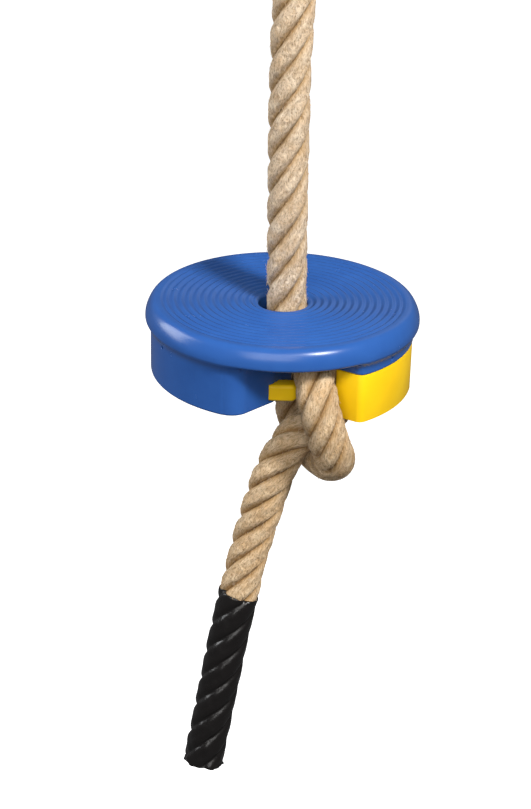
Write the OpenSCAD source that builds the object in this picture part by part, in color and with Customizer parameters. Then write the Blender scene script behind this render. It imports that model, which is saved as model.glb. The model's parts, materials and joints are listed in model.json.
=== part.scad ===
// Disc swing: a round plastic seat on a thick knotted rope, hung from a swivelling cardan hanger.
// Origin: centre of the hanger plate's top face, which bolts up against a beam. Everything hangs below it.

/* [Seat] */
// Outside diameter of the rim
seat_d = 290; // [284:1:296]
// Outside diameter of the skirt below the rim
skirt_d = 280; // [278:1:281]
// Wall thickness of the skirt and the inner walls
wall_t = 4.5; // [4:0.5:5]
// Thickness of the top skin
skin_t = 5; // [4:0.5:6]
// Depth of the deep half of the skirt
deep_h = 80; // [78:1:84]
// Depth of the shallow part of the skirt, above the gate
shallow_h = 38; // [37:0.5:39]
// Distance from one grip ridge to the next
ridge_pitch = 8; // [7.5:0.25:8.5]
// Height of a grip ridge
ridge_h = 1.4; // [0.8:0.2:2]
// Diameter of the rope hole
hole_d = 52; // [51:0.5:54]

/* [Rope] */
// Diameter of the rope
rope_d = 43; // [42:0.5:44]
// Wall thickness of the shrink sleeve on the rope's end
sleeve_t = 1.8; // [1:0.2:2]

/* [Gate] */
// Bottom of the gate below the seat's top
gate_h = 91; // [88:1:94]
// Running gap between the gate and the shell
gate_gap = 0.4; // [0.3:0.1:0.6]
// Diameter of the gate's pivot bolt
gate_bolt_d = 10; // [8:1:10]

/* [Hanger] */
// Length of the hanger plate
plate_l = 104; // [100:1:120]
// Width of the hanger plate
plate_w = 50; // [44:1:60]
// Thickness of the hanger plate
plate_t = 8; // [6:1:10]
// Distance between the two mounting holes
mount_pitch = 76; // [74:1:80]
// Diameter of a mounting hole
mount_hole_d = 11; // [9:0.5:13]
// Diameter of the two crossed pivot bolts
pivot_d = 10; // [8:1:10]

/* [Hidden] */

// Fits
running = 0.06;     // radial gap of a shaft in its bush
clear = 0.5;        // gap between parts that pass each other
fine = 96;          // segments of a large round
small = 48;         // segments of a small round

// Screws
screw_d = 4;
screw_head_d = 8;
screw_head_h = 2;
thread_gap = 0.02;  // radial gap of a bolt in its nut
slip_gap = 0.2;     // radial gap of a screw in its clearance hole

// Hanger: two bracket ears, a link with two crossed bores, a yoke and a swivel
ear_t = 8;
ear_gap = 22;
ear_r = 14;
boss_r = 11;
link_half = 10.5;
link_web = 14;
bush_r = pivot_d / 2 + 2;
yoke_half = link_half + clear;
yoke_ear_t = 7;
yoke_r = 12;
swivel_r = 6;
swivel_bush_r = 8;
pivot_hex = 16;
cross_bolt_r = 4;
cross_hex = 13;

// Heights down the hanger
upper_z = -26;
lower_z = -54;
yoke_base_z = -76;
yoke_base_t = 8;
washer_t = 2;
socket_top_z = yoke_base_z - yoke_base_t - washer_t;
socket_plate_t = 8;
socket_end_z = -146;
socket_r = rope_d / 2 + 0.7;
socket_wall = 4;
socket_bolt_z = [-121, -132];

// The seat's axis and top plane under the origin
seat_at = [-4, 26, -490];
rim_r = seat_d / 2;
skirt_r = skirt_d / 2;
inner_r = skirt_r - wall_t;
crest_r = rim_r - 11;
rim_drop = 19;
lip_z = -rim_drop - 5.5;
skin_under_z = -skin_t - 4;  // the dish and the grooves reach 4 into the skin
hub_wall = 5;
hub_end_z = -36;
skirt_top_z = -10;
rim_split_a = acos(1 + skin_under_z / rim_drop);
wall_step = 0.5;    // the inner walls end this far above the skirt's edge

// Angles round the seat, anticlockwise from +X
mouth_left_a = 253;
mouth_right_a = -53;
deep_from_a = 60;
gate_end_a = -9;
gate_ring_end_a = -17;

// Plan points of the wall between the rope pocket and the deep half, from the mouth to the back
pocket_plan = [
    [-46, -131], [-9, -92], [10, -60], [-25, -36], [-37, -3], [-27, 27], [6, 40], [64, 118]
];
// Plan points of the wall from the pocket's shallow side to the hub
shallow_plan = [[107, -37], [62, -14], [28, -8]];
// Plan points of the wall at the right side of the mouth
mouth_plan = [[61, -97], [84, -105]];

// Bottom covers and their screws
cover_t = 3;
post_r = 5;
deep_screws = [[-58, -112], [-112, -40], [-104, 52], [-30, 112], [34, 112], [-46, 16]];
shallow_screws = [[52, 12], [112, 36], [78, 84]];

// Gate: a curved block that swings out on its pivot
gate_outer_r = skirt_r - 0.2;
gate_inner_r = 112;
gate_pivot = [118, -46];
gate_top_z = -shallow_h - gate_gap;
gate_corner_r = 9;
gate_mouth_from = [57, -97];
gate_mouth_a = -31.8;
gate_head_z = -gate_h + 7;
gate_bush_r = gate_bolt_d / 2 + 2;
gate_washer_t = 1.3;
gate_nut_washer_t = 1;
gate_bolt_z = gate_head_z - gate_washer_t - 0.1;
carrier_top_z = -18;
carrier_screw_at = [[92, -85], [109, -59]];
side_screw_a = -35.4;
side_screw_z = -24;
vent_a = 208;
vent_z = -33;

// Spring latch: a square tongue that slides along X in a housing behind the pocket wall
latch_y = -88;
latch_z = -67.5;
latch_w = 18;
latch_tip_x = 17;
latch_end_x = -47.3;
latch_flange_w = 26;
latch_flange_t = 5;
latch_chamfer = 4;
housing_x = [-80, -38];
housing_wall = 3;
housing_floor_z = -deep_h + 3.2;
housing_roof_z = latch_z + latch_w / 2 + 0.3;
housing_screw_at = [[-50, -67], [-70, -67]];
latch_spring_r = 6;

// Rope route: the centre line, from inside the socket to the free end.
// The standing part, measured from the origin.
rope_standing = [
    [0, 0, -110], [0, 0, -150], [-2, 5, -220], [-2, 12, -300], [-1, 18, -380], [0, 23, -440]
];
// The part through and below the seat, measured from the seat's axis and top plane.
rope_knotted = [
    [4, 0, 0], [3, 0, -60], [4, -1, -92], [7, -5, -116], [16, -11, -137], [28, -23, -152],
    [40, -43, -161], [52, -69, -160], [59, -93, -147], [57, -111, -127], [49, -119, -105],
    [41, -121, -82], [35, -117, -62], [33, -106, -46], [34, -92, -39], [41, -79, -39],
    [51, -69, -46], [59, -61, -58], [62, -56, -73], [61, -54, -89], [55, -54, -103],
    [45, -57, -112], [33, -62, -119], [19, -67, -129], [7, -71, -146], [-4, -73, -172],
    [-15, -73, -211], [-28, -76, -263], [-39, -84, -315], [-50, -92, -371], [-59, -100, -425],
    [-68, -108, -477], [-74, -114, -515]
];
rope_route = concat(rope_standing, [for (p = rope_knotted) p + seat_at]);
sleeve_rings = 5;
rope_sides = 12;

// ---- helpers ----------------------------------------------------------------------------------

module in_seat() {
    translate(seat_at) children();
}

// A round bar along X, centred on a point
module bar_x(r, x0, x1) {
    translate([x0, 0, 0]) rotate([0, 90, 0]) cylinder(r = r, h = x1 - x0, $fn = small);
}

// A round bar along Y
module bar_y(r, y0, y1) {
    translate([0, y0, 0]) rotate([-90, 0, 0]) cylinder(r = r, h = y1 - y0, $fn = small);
}

// A hexagon prism along Z, across flats af
module hex(af, z0, z1) {
    translate([0, 0, z0]) cylinder(d = af / cos(30), h = z1 - z0, $fn = 6);
}

// A ring sector about the seat's axis
module ring_sector(r0, r1, z0, z1, a0, a1) {
    rotate([0, 0, a0])
        rotate_extrude(angle = a1 - a0, $fn = fine)
            translate([r0, z0]) square([r1 - r0, z1 - z0]);
}

// The points of a path moved to its right, with mitred corners
function to_right(a, b) = [b[1] - a[1], a[0] - b[0]] / norm(b - a);
function beside(path, shift) = [for (i = [0:len(path) - 1])
    let (into = to_right(path[max(i - 1, 0)], path[max(i, 1)]),
        out = to_right(path[min(i, len(path) - 2)], path[min(i + 1, len(path) - 1)]))
    path[i] + shift * (into + out) / (1 + into * out)];

// An upright wall along a path of plan points
module wall_path(path, z0, z1) {
    left = beside(path, -wall_t / 2);
    translate([0, 0, z0]) linear_extrude(z1 - z0)
        polygon(concat(beside(path, wall_t / 2), [for (i = [len(left) - 1:-1:0]) left[i]]));
}

// A pan head screw pointing up, the underside of its head at z = 0
module screw_up(length) {
    cylinder(d = screw_d, h = length, $fn = small);
    translate([0, 0, -screw_head_h]) cylinder(d = screw_head_d, h = screw_head_h, $fn = small);
}

// Sweep: ring centres, directions, carried sideways vectors and the rings themselves
function unit(v) = v / norm(v);
function direction(path, i) =
    unit(path[min(i + 1, len(path) - 1)] - path[max(i - 1, 0)]);
function upright(v, t) = unit(v - (v * t) * t);
function carried(path, i) =
    i == 0 ? upright([1, 0, 0], direction(path, 0))
           : upright(carried(path, i - 1), direction(path, i));
function ring(path, i, r) =
    let (t = direction(path, i), u = carried(path, i), v = cross(t, u))
    [for (k = [0:rope_sides - 1])
        path[i] + r * (cos(360 * k / rope_sides) * u + sin(360 * k / rope_sides) * v)];

// A closed tube through the rings of a path, from ring a to ring b
module sweep(path, r, a, b, before = 0, after = 0) {
    n = rope_sides;
    count = b - a + 1;
    rings = [for (i = [a:b])
        let (slip = i == a ? -before : i == b ? after : 0)
        [for (p = ring(path, i, r)) p + slip * direction(path, i)]];
    points = [for (one = rings) each one];
    sides = [for (i = [0:count - 2], k = [0:n - 1])
        [(i + 1) * n + k, (i + 1) * n + (k + 1) % n, i * n + (k + 1) % n, i * n + k]];
    ends = [[for (k = [0:n - 1]) k], [for (k = [n - 1:-1:0]) (count - 1) * n + k]];
    polyhedron(points, concat(ends, sides));
}

// ---- hanger -----------------------------------------------------------------------------------

module hanger_bracket() {
    color("silver") difference() {
        union() {
            translate([-plate_l / 2, -plate_w / 2, -plate_t]) cube([plate_l, plate_w, plate_t]);
            for (x0 = [-ear_gap / 2 - ear_t, ear_gap / 2]) {
                translate([x0, -ear_r, upper_z]) cube([ear_t, 2 * ear_r, -upper_z - plate_t + 1]);
                translate([0, 0, upper_z]) bar_x(ear_r, x0, x0 + ear_t);
            }
        }
        for (side = [-1, 1])
            translate([side * mount_pitch / 2, 0, -plate_t - 1])
                cylinder(d = mount_hole_d, h = plate_t + 2, $fn = small);
        translate([0, 0, upper_z]) bar_x(pivot_d / 2 + running, -30, 30);
    }
}

// A shouldered pivot bolt along X, with a hexagon head on the -X side
module pivot_bolt(grip) {
    bar_x(pivot_d / 2, -grip, grip + 10);
    translate([-grip, 0, 0]) rotate([0, -90, 0]) hex(pivot_hex, 0, 6.5);
}

module pivot_nut(grip) {
    difference() {
        translate([grip, 0, 0]) rotate([0, 90, 0]) hex(pivot_hex, 0.1, 8.5);
        bar_x(pivot_d / 2 + thread_gap, grip - 1, grip + 12);
    }
}

module upper_bolt() {
    color("gainsboro") translate([0, 0, upper_z]) pivot_bolt(ear_gap / 2 + ear_t + 0.1);
}

module upper_nut() {
    color("gainsboro") translate([0, 0, upper_z]) pivot_nut(ear_gap / 2 + ear_t);
}

module cross_link() {
    color("gray") difference() {
        union() {
            translate([0, 0, upper_z]) bar_x(boss_r, -link_half, link_half);
            translate([0, 0, lower_z]) bar_y(boss_r, -link_half, link_half);
            translate([-link_web / 2, -link_web / 2, lower_z + 4])
                cube([link_web, link_web, upper_z - lower_z - 8]);
        }
        translate([0, 0, upper_z]) bar_x(bush_r, -30, 30);
        translate([0, 0, lower_z]) bar_y(bush_r, -30, 30);
    }
}

// Two plain bushes pressed into the link's bores
module link_bushes() {
    color("goldenrod") {
        translate([0, 0, upper_z]) difference() {
            bar_x(bush_r, -link_half, link_half);
            bar_x(pivot_d / 2 + running, -30, 30);
        }
        translate([0, 0, lower_z]) difference() {
            bar_y(bush_r, -link_half, link_half);
            bar_y(pivot_d / 2 + running, -30, 30);
        }
    }
}

module yoke() {
    color("silver") difference() {
        union() {
            for (y0 = [-yoke_half - yoke_ear_t, yoke_half]) {
                translate([0, 0, lower_z]) bar_y(yoke_r, y0, y0 + yoke_ear_t);
                translate([-yoke_r, y0, yoke_base_z - yoke_base_t])
                    cube([2 * yoke_r, yoke_ear_t, lower_z - yoke_base_z + yoke_base_t]);
            }
            translate([-yoke_r, -yoke_half - 1, yoke_base_z - yoke_base_t])
                cube([2 * yoke_r, 2 * yoke_half + 2, yoke_base_t]);
        }
        translate([0, 0, lower_z]) bar_y(pivot_d / 2 + running, -30, 30);
        translate([0, 0, yoke_base_z - yoke_base_t - 1])
            cylinder(r = swivel_bush_r, h = yoke_base_t + 2, $fn = small);
    }
}

module lower_bolt() {
    color("gainsboro") translate([0, 0, lower_z]) rotate([0, 0, 90])
        pivot_bolt(yoke_half + yoke_ear_t + 0.1);
}

module lower_nut() {
    color("gainsboro") translate([0, 0, lower_z]) rotate([0, 0, 90])
        pivot_nut(yoke_half + yoke_ear_t);
}

module swivel_bush() {
    color("goldenrod") translate([0, 0, yoke_base_z - yoke_base_t]) difference() {
        cylinder(r = swivel_bush_r, h = yoke_base_t, $fn = small);
        translate([0, 0, -1]) cylinder(r = swivel_r + running, h = yoke_base_t + 2, $fn = small);
    }
}

module thrust_washer() {
    color("goldenrod") translate([0, 0, socket_top_z]) difference() {
        cylinder(r = 14, h = washer_t - 0.1, $fn = small);
        translate([0, 0, -1]) cylinder(r = swivel_r + 0.1, h = washer_t + 2, $fn = small);
    }
}

module swivel_bolt() {
    color("gainsboro") {
        translate([0, 0, yoke_base_z + 0.1]) cylinder(r = 10, h = 7, $fn = small);
        translate([0, 0, socket_top_z - socket_plate_t - 14])
            cylinder(r = swivel_r, h = yoke_base_z - socket_top_z + socket_plate_t + 15, $fn = small);
    }
}

module swivel_nut() {
    color("gainsboro") difference() {
        hex(19, socket_top_z - socket_plate_t - 11, socket_top_z - socket_plate_t);
        translate([0, 0, socket_top_z - socket_plate_t - 12])
            cylinder(r = swivel_r + thread_gap, h = 14, $fn = small);
    }
}

module rope_socket() {
    outer = socket_r + socket_wall;
    color("silver") difference() {
        union() {
            translate([0, 0, socket_end_z]) cylinder(r = outer, h = socket_top_z - socket_end_z, $fn = fine);
            translate([0, 0, socket_end_z]) cylinder(r = outer + 1.6, h = 5, $fn = fine);
        }
        translate([0, 0, socket_end_z - 1])
            cylinder(r = socket_r, h = socket_top_z - socket_plate_t - socket_end_z + 1, $fn = fine);
        translate([0, 0, socket_top_z - socket_plate_t - 1])
            cylinder(r = swivel_r + thread_gap, h = socket_plate_t + 2, $fn = small);
        translate([0, 0, socket_bolt_z[0]]) bar_x(cross_bolt_r + running, -40, 40);
        translate([0, 0, socket_bolt_z[1]]) bar_y(cross_bolt_r + running, -40, 40);
    }
}

// A cross bolt along X through the socket, with its head on the -X side
module cross_bolt() {
    grip = socket_r + socket_wall + 0.1;
    bar_x(cross_bolt_r, -grip, grip + 8);
    translate([-grip, 0, 0]) rotate([0, -90, 0]) hex(cross_hex, 0, 5.3);
}

module cross_nut() {
    grip = socket_r + socket_wall + 0.1;
    difference() {
        translate([grip, 0, 0]) rotate([0, 90, 0]) hex(cross_hex, 0, 6.5);
        bar_x(cross_bolt_r + thread_gap, grip - 1, grip + 10);
    }
}

module socket_bolts() {
    color("gainsboro") {
        translate([0, 0, socket_bolt_z[0]]) cross_bolt();
        translate([0, 0, socket_bolt_z[1]]) rotate([0, 0, 90]) cross_bolt();
    }
}

module socket_nuts() {
    color("gainsboro") {
        translate([0, 0, socket_bolt_z[0]]) cross_nut();
        translate([0, 0, socket_bolt_z[1]]) rotate([0, 0, 90]) cross_nut();
    }
}

// ---- rope -------------------------------------------------------------------------------------

module rope() {
    color("tan") sweep(rope_route, rope_d / 2, 0, len(rope_route) - 1);
}

module end_sleeve() {
    last = len(rope_route) - 1;
    first = last - sleeve_rings + 1;
    color("black") difference() {
        sweep(rope_route, rope_d / 2 + sleeve_t, first, last, 0, 4);
        sweep(rope_route, rope_d / 2 + 0.1, first, last, 1, 0.2);
    }
}

// ---- seat -------------------------------------------------------------------------------------

// Height of the top surface at radius r: a shallow dish with round ridges, rolling into the hole
function dish_z(r) = -2.4 * (1 - pow(r / crest_r, 2)) - 3.5 * exp(-(r - hole_d / 2) / 5);
function ridge_z(r) = -ridge_h * (1 + cos(360 * (r - 40) / ridge_pitch)) / 2;
function top_z(r) = dish_z(r) + ((r > 32 && r < crest_r - 4) ? ridge_z(r) : 0);

// The rim's outside: a quarter of an ellipse from the crest down
function rim_at(a) = [crest_r + 11 * sin(a), -rim_drop * (1 - cos(a))];

// The disc's section, down to the underside of its skin
module disc_section() {
    step = ridge_pitch / 6;
    top = [for (r = [hole_d / 2:step:crest_r - 1]) [r, top_z(r)]];
    rim = [for (a = [0:10:rim_split_a]) rim_at(a)];
    polygon(concat(top, rim, [rim_at(rim_split_a), [hole_d / 2, skin_under_z]]));
}

// The rim's section, from the skin's underside to its lip
module lip_section() {
    rim = [for (a = [60:10:90]) rim_at(a)];
    under = [[rim_r - 1, -rim_drop - 3], [skirt_r + 1, lip_z], [inner_r + 1, lip_z],
        [inner_r - 2, skin_under_z]];
    polygon(concat([rim_at(rim_split_a)], rim, under));
}

// The room inside the skirt and the rim, which the inner walls end at
module room_inside() {
    corner_z = lip_z + (skin_under_z - lip_z) / 3;
    rotate_extrude($fn = fine)
        polygon([[0, -deep_h - 1], [inner_r, -deep_h - 1], [inner_r, corner_z],
            [inner_r - 2, skin_under_z], [0, skin_under_z]]);
}

module tongue_slot() {
    translate([-30, latch_y - latch_w / 2 - clear, latch_z - latch_w / 2 - clear])
        cube([50, latch_w + 2 * clear, latch_w + 2 * clear]);
}

// A place on the skirt's outer face, at an angle and a height, with +Z pointing inward
module on_skirt(a, z) {
    rotate([0, 0, a]) translate([skirt_r, 0, z]) rotate([0, -90, 0]) children();
}

// Posts under the top skin that take the screws
module posts(places, z) {
    for (p = places) translate([p[0], p[1], z]) cylinder(r = post_r, h = skin_under_z - z, $fn = small);
}

module post_holes(places, z) {
    for (p = places)
        translate([p[0], p[1], z - 1]) cylinder(d = screw_d + 2 * thread_gap, h = 14, $fn = small);
}

// The skirt: open at the mouth, and cut back to its shallow height above the gate
module skirt() {
    difference() {
        ring_sector(inner_r, skirt_r, -deep_h, skirt_top_z, mouth_right_a, mouth_left_a);
        ring_sector(inner_r - 9, skirt_r + 9, -deep_h - 1, -shallow_h, mouth_right_a - 9, deep_from_a);
    }
}

// The seat's moulding is drawn as six solids that meet face to face: the disc, the skirt with the rim,
// the hub, the two groups of inner walls and the screw posts
module seat_shell() {
    color("royalblue") in_seat() rotate_extrude($fn = fine) disc_section();
}

module seat_skirt() {
    color("royalblue") in_seat() difference() {
        union() {
            rotate_extrude($fn = fine) lip_section();
            skirt();
        }
        at_pivot(carrier_top_z) cylinder(r = 10.5, h = skin_under_z - 0.8 - carrier_top_z, $fn = small);
        on_skirt(vent_a, vent_z) translate([0, 0, -1]) cylinder(r = 2, h = wall_t + 3, $fn = small);
        on_skirt(side_screw_a, side_screw_z) translate([0, 0, -1])
            cylinder(r = 2.4, h = wall_t + 3, $fn = small);
    }
}

module seat_hub() {
    color("royalblue") in_seat() translate([0, 0, hub_end_z]) difference() {
        cylinder(d = hole_d + 2 * hub_wall, h = skin_under_z - hub_end_z, $fn = fine);
        translate([0, 0, -1]) cylinder(d = hole_d, h = skin_under_z - hub_end_z + 2, $fn = fine);
    }
}

// The wall between the rope pocket and the deep half
module pocket_wall() {
    color("royalblue") in_seat() difference() {
        intersection() {
            wall_path(pocket_plan, -deep_h + wall_step, skin_under_z);
            room_inside();
        }
        tongue_slot();
    }
}

// The walls between the rope pocket, the gate and the shallow half
module gate_wall() {
    color("royalblue") in_seat() difference() {
        intersection() {
            union() {
                wall_path(shallow_plan, -shallow_h + wall_step, skin_under_z - wall_step);
                wall_path(mouth_plan, -shallow_h + wall_step, skin_under_z - wall_step);
                ring_sector(
                    gate_inner_r - 1, gate_inner_r + 2.5, -shallow_h, skin_under_z, -56, gate_ring_end_a
                );
            }
            room_inside();
        }
        cylinder(d = hole_d + 2 * hub_wall, h = 200, center = true, $fn = fine);
    }
}

module screw_posts() {
    color("royalblue") in_seat() difference() {
        union() {
            posts(deep_screws, -deep_h + cover_t);
            posts(shallow_screws, -shallow_h + cover_t);
            posts(carrier_screw_at, carrier_top_z);
            posts(housing_screw_at, housing_roof_z + housing_wall);
        }
        post_holes(deep_screws, -deep_h + cover_t);
        post_holes(shallow_screws, -shallow_h + cover_t);
        post_holes(carrier_screw_at, carrier_top_z - 5);
        post_holes(housing_screw_at, housing_roof_z + housing_wall);
    }
}

// A plate inside the skirt with the plan given as children
module plate_in_shell(z) {
    translate([0, 0, z]) intersection() {
        cylinder(r = inner_r - 0.2, h = cover_t - 0.1, $fn = fine);
        translate([0, 0, -1]) linear_extrude(cover_t + 2) children();
    }
}

module left_cover() {
    color("royalblue") in_seat() difference() {
        plate_in_shell(-deep_h) polygon([
            [-51, -129], [-14, -90], [4, -61], [-29, -38], [-41, -3], [-30, 31], [3, 44], [57, 116],
            [57, 180], [-180, 180], [-180, -180], [-60, -180]
        ]);
        for (p = deep_screws)
            translate([p[0], p[1], -deep_h - 1]) cylinder(d = screw_d + 2 * slip_gap, h = 6, $fn = small);
    }
}

module right_cover() {
    color("royalblue") in_seat() difference() {
        plate_in_shell(-shallow_h) polygon([
            [106, -29], [63, -11], [33, -5], [32, 12], [10, 40], [68, 115], [140, 120], [160, -35],
            [121, -35]
        ]);
        for (p = shallow_screws)
            translate([p[0], p[1], -shallow_h - 1]) cylinder(d = screw_d + 2 * slip_gap, h = 6, $fn = small);
    }
}

// Screws that hold the two covers
module cover_screws() {
    color("dimgray") in_seat() {
        for (p = deep_screws) translate([p[0], p[1], -deep_h - 0.05]) screw_up(14);
        for (p = shallow_screws) translate([p[0], p[1], -shallow_h - 0.05]) screw_up(14);
    }
}

// ---- gate -------------------------------------------------------------------------------------

// Block above the gate that takes its pivot bolt
module gate_carrier() {
    color("darkslategray") in_seat() difference() {
        translate([0, 0, -shallow_h]) intersection() {
            cylinder(r = inner_r - 1.3, h = carrier_top_z + shallow_h, $fn = fine);
            linear_extrude(60) polygon([
                [80, -99], [84, -101], [110, -110], [160, -52], [124, -37], [112.5, -33], [104, -50],
                [96, -66], [87, -80]
            ]);
        }
        translate([gate_pivot[0], gate_pivot[1], -shallow_h - 1])
            cylinder(d = gate_bolt_d + 2 * thread_gap, h = 60, $fn = small);
        for (p = carrier_screw_at) translate([p[0], p[1], -shallow_h - 1]) {
            cylinder(d = screw_d + 2 * slip_gap, h = 60, $fn = small);
            cylinder(r = 4.6, h = 4, $fn = small);
        }
        on_skirt(side_screw_a, side_screw_z) cylinder(d = screw_d + 2 * thread_gap, h = 24, $fn = small);
    }
}

module side_screw() {
    color("midnightblue") in_seat() on_skirt(side_screw_a, side_screw_z)
        translate([0, 0, 0.8]) cylinder(d = screw_d, h = 16, $fn = small);
}

module carrier_screws() {
    color("dimgray") in_seat() for (p = carrier_screw_at)
        translate([p[0], p[1], -shallow_h + 2.95]) screw_up(24);
}

module at_pivot(z) {
    translate([gate_pivot[0], gate_pivot[1], z]) children();
}

module gate_bush() {
    color("goldenrod") in_seat() difference() {
        at_pivot(gate_head_z + 0.1)
            cylinder(r = gate_bush_r, h = gate_top_z - gate_head_z - 0.1, $fn = small);
        at_pivot(-gate_h) cylinder(r = gate_bolt_d / 2 + running, h = gate_h, $fn = small);
    }
}

module gate_bolt() {
    color("gainsboro") in_seat() {
        at_pivot(gate_bolt_z - 5) cylinder(r = 8.5, h = 5, $fn = small);
        at_pivot(gate_bolt_z) cylinder(d = gate_bolt_d, h = skin_under_z - 1 - gate_bolt_z, $fn = small);
    }
}

// Washers under the bolt's head and under the nut
module gate_washers() {
    color("silver") in_seat() {
        difference() {
            at_pivot(gate_bolt_z + 0.05) cylinder(r = 10, h = gate_washer_t, $fn = small);
            at_pivot(gate_head_z - 3) cylinder(d = gate_bolt_d + 0.3, h = 6, $fn = small);
        }
        difference() {
            at_pivot(carrier_top_z + thread_gap) cylinder(r = 9, h = gate_nut_washer_t, $fn = small);
            at_pivot(carrier_top_z - 1) cylinder(d = gate_bolt_d + 0.3, h = 6, $fn = small);
        }
    }
}

module gate_nut() {
    color("gainsboro") in_seat() difference() {
        at_pivot(carrier_top_z + gate_nut_washer_t + 2 * thread_gap) rotate([0, 0, 17]) hex(15, 0, 6.5);
        at_pivot(carrier_top_z - 1) cylinder(d = gate_bolt_d + 2 * thread_gap, h = 12, $fn = small);
    }
}

// Plan of the gate: the mouth's flat face, a rounded corner, then the skirt's curve to the end face
module gate_plan() {
    along = [cos(gate_mouth_a), sin(gate_mouth_a)];
    outward = [along[1], -along[0]];
    start = gate_mouth_from - gate_corner_r * outward;
    reach = gate_outer_r - gate_corner_r;
    half_b = start * along;
    run = -half_b + sqrt(half_b * half_b - start * start + reach * reach);
    centre = start + run * along;
    a0 = atan2(outward[1], outward[0]);
    a1 = atan2(centre[1], centre[0]);
    corner = [for (k = [0:8])
        let (a = a0 + (a1 - a0) * k / 8)
        centre + gate_corner_r * [cos(a), sin(a)]];
    far = gate_outer_r * 1.3;
    polygon(concat(
        [gate_mouth_from], corner,
        [far * [cos(a1), sin(a1)], far * [cos(gate_end_a), sin(gate_end_a)],
         90 * [cos(gate_end_a), sin(gate_end_a)], [57, -80]]
    ));
}

module lock_gate() {
    color("gold") in_seat() difference() {
        intersection() {
            translate([0, 0, -gate_h]) linear_extrude(gate_h + gate_top_z) gate_plan();
            translate([0, 0, -gate_h]) cylinder(r = gate_outer_r, h = gate_h, $fn = fine);
        }
        translate([0, 0, -gate_h - 1]) cylinder(r = gate_inner_r, h = gate_h + 2, $fn = fine);
        at_pivot(-gate_h - 1) cylinder(r = gate_bush_r, h = gate_h + 2, $fn = small);
        at_pivot(-gate_h - 1) cylinder(r = 11.5, h = gate_head_z + gate_h + 1, $fn = small);
    }
}

// ---- latch ------------------------------------------------------------------------------------

// A bar along X with a square section and chamfered long edges
module chamfered_bar(x0, x1, w, c) {
    translate([x0, latch_y - w / 2 + c, latch_z - w / 2]) cube([x1 - x0, w - 2 * c, w]);
    translate([x0, latch_y - w / 2, latch_z - w / 2 + c]) cube([x1 - x0, w, w - 2 * c]);
}

module latch_tongue() {
    color("gold") in_seat() {
        hull() {
            chamfered_bar(latch_end_x, latch_tip_x - latch_chamfer, latch_w, latch_chamfer / 2);
            chamfered_bar(latch_tip_x - 1, latch_tip_x, latch_w - latch_chamfer, latch_chamfer / 2);
        }
        translate([latch_end_x, latch_y - latch_flange_w / 2, latch_z - latch_w / 2])
            cube([latch_flange_t, latch_flange_w, latch_w]);
    }
}

module latch_housing() {
    outer_w = latch_flange_w + 0.6 + 2 * housing_wall;
    color("darkslategray") in_seat() difference() {
        union() {
            translate([housing_x[0], latch_y - outer_w / 2, housing_floor_z])
                cube([housing_x[1] - housing_x[0], outer_w, housing_roof_z + housing_wall - housing_floor_z]);
            for (p = housing_screw_at) translate([p[0], p[1], housing_roof_z])
                cylinder(r = 6, h = housing_wall - 0.05, $fn = small);
        }
        translate([housing_x[0] + housing_wall, latch_y - latch_flange_w / 2 - 0.3, housing_floor_z - 1])
            cube([
                latch_end_x + latch_flange_t + 0.3 - housing_x[0] - housing_wall,
                latch_flange_w + 0.6,
                housing_roof_z - housing_floor_z + 1
            ]);
        translate([latch_end_x, latch_y - latch_w / 2 - 0.3, housing_floor_z - 1])
            cube([30, latch_w + 0.6, housing_roof_z - housing_floor_z + 1]);
        for (p = housing_screw_at) translate([p[0], p[1], housing_roof_z - 1])
            cylinder(d = screw_d + 2 * slip_gap, h = 8, $fn = small);
    }
}

module housing_screws() {
    color("dimgray") in_seat() for (p = housing_screw_at)
        translate([p[0], p[1], housing_roof_z - 0.05]) screw_up(14);
}

// The latch's compression spring, as the closed shape it fills
module latch_spring() {
    color("silver") in_seat() translate([0, latch_y, latch_z]) difference() {
        bar_x(latch_spring_r, housing_x[0] + housing_wall + 0.05, latch_end_x - 0.05);
        bar_x(latch_spring_r - 2, housing_x[0], latch_end_x + 1);
    }
}

hanger_bracket();
upper_bolt();
upper_nut();
cross_link();
link_bushes();
yoke();
lower_bolt();
lower_nut();
swivel_bush();
thrust_washer();
swivel_bolt();
swivel_nut();
rope_socket();
socket_bolts();
socket_nuts();
rope();
end_sleeve();
seat_shell();
seat_skirt();
seat_hub();
pocket_wall();
gate_wall();
screw_posts();
left_cover();
right_cover();
cover_screws();
gate_carrier();
side_screw();
carrier_screws();
gate_bush();
gate_bolt();
gate_washers();
gate_nut();
lock_gate();
latch_housing();
housing_screws();
latch_spring();
latch_tongue();
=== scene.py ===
"""Looks of the disc rope swing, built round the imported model. All lengths are in metres."""

import json
import math

import bmesh
import bpy
import numpy as np
from mathutils import Matrix, Vector


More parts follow.
